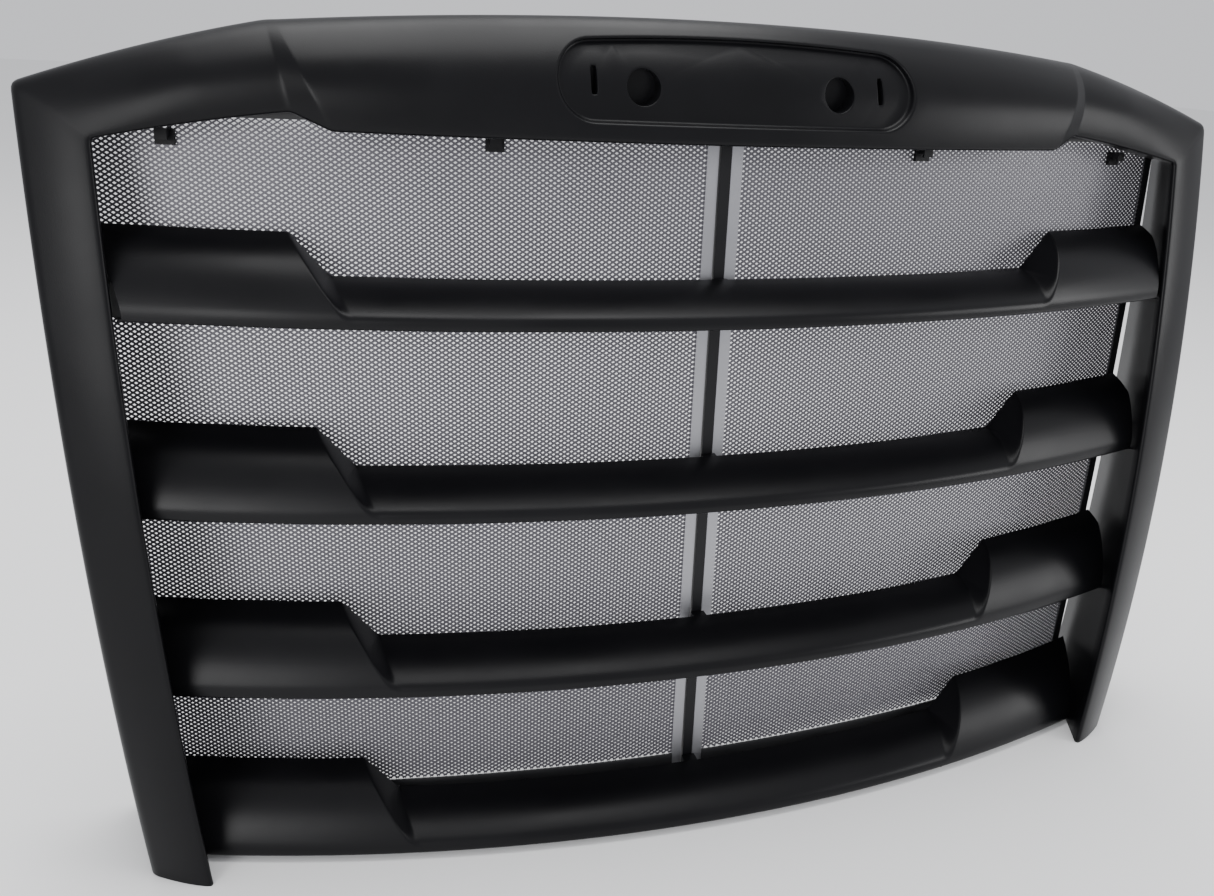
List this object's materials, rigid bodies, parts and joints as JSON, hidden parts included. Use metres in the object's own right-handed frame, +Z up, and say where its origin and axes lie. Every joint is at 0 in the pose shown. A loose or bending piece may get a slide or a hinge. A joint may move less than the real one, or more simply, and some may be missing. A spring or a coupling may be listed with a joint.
{
  "type": "front grille",
  "caption": "Moulded front grille for a heavy road vehicle: arched surround, bowed louvers with raised wings and perforated insect screens either side of a centre rib.",
  "frame": {"origin": "midway between the two foot holes, on the plane the feet rest on", "axes": "+X to the right seen from the front, +Y from the front to the back, +Z up"},
  "size_m": [1.16, 0.2126, 0.7666],
  "materials": {
    "surround_plastic": "satin moulded black",
    "louver_plastic": "satin moulded black",
    "rib_plastic": "satin moulded black",
    "clip_plastic": "matt moulded black",
    "screen_sheet": "dark coated perforated sheet",
    "screen_edge": "black coated sheet",
    "screen_hem": "satin folded edge",
    "bracket_steel": "zinc plated",
    "screw_steel": "black zinc plated"
  },
  "bodies": {
    "root": {"surround": "surround_plastic", "louver_1": "louver_plastic", "louver_2": "louver_plastic", "louver_3": "louver_plastic", "louver_4": "louver_plastic", "centre_rib": "rib_plastic", "rib_screws": "screw_steel", "louver_screws_left": "screw_steel", "louver_screws_right": "screw_steel", "mount_bracket_left": "bracket_steel", "mount_bracket_right": "bracket_steel", "bracket_screws": "screw_steel"},
    "screen_left": {"screen_mesh_left": "screen_sheet", "screen_frame_left": "screen_edge", "screen_hem_left": "screen_hem", "clip_top_inner_left": "clip_plastic", "clip_top_outer_left": "clip_plastic", "clip_low_inner_left": "clip_plastic", "clip_low_outer_left": "clip_plastic"},
    "screen_right": {"screen_mesh_right": "screen_sheet", "screen_frame_right": "screen_edge", "screen_hem_right": "screen_hem", "clip_top_inner_right": "clip_plastic", "clip_top_outer_right": "clip_plastic", "clip_low_inner_right": "clip_plastic", "clip_low_outer_right": "clip_plastic"}
  },
  "joints": [
    {"name": "screen_left_slide", "type": "slide", "parent": "root", "child": "screen_left", "axis": [0, 1, 0], "range_m": [0, 0.06]},
    {"name": "screen_right_slide", "type": "slide", "parent": "root", "child": "screen_right", "axis": [0, 1, 0], "range_m": [0, 0.06]}
  ]
}
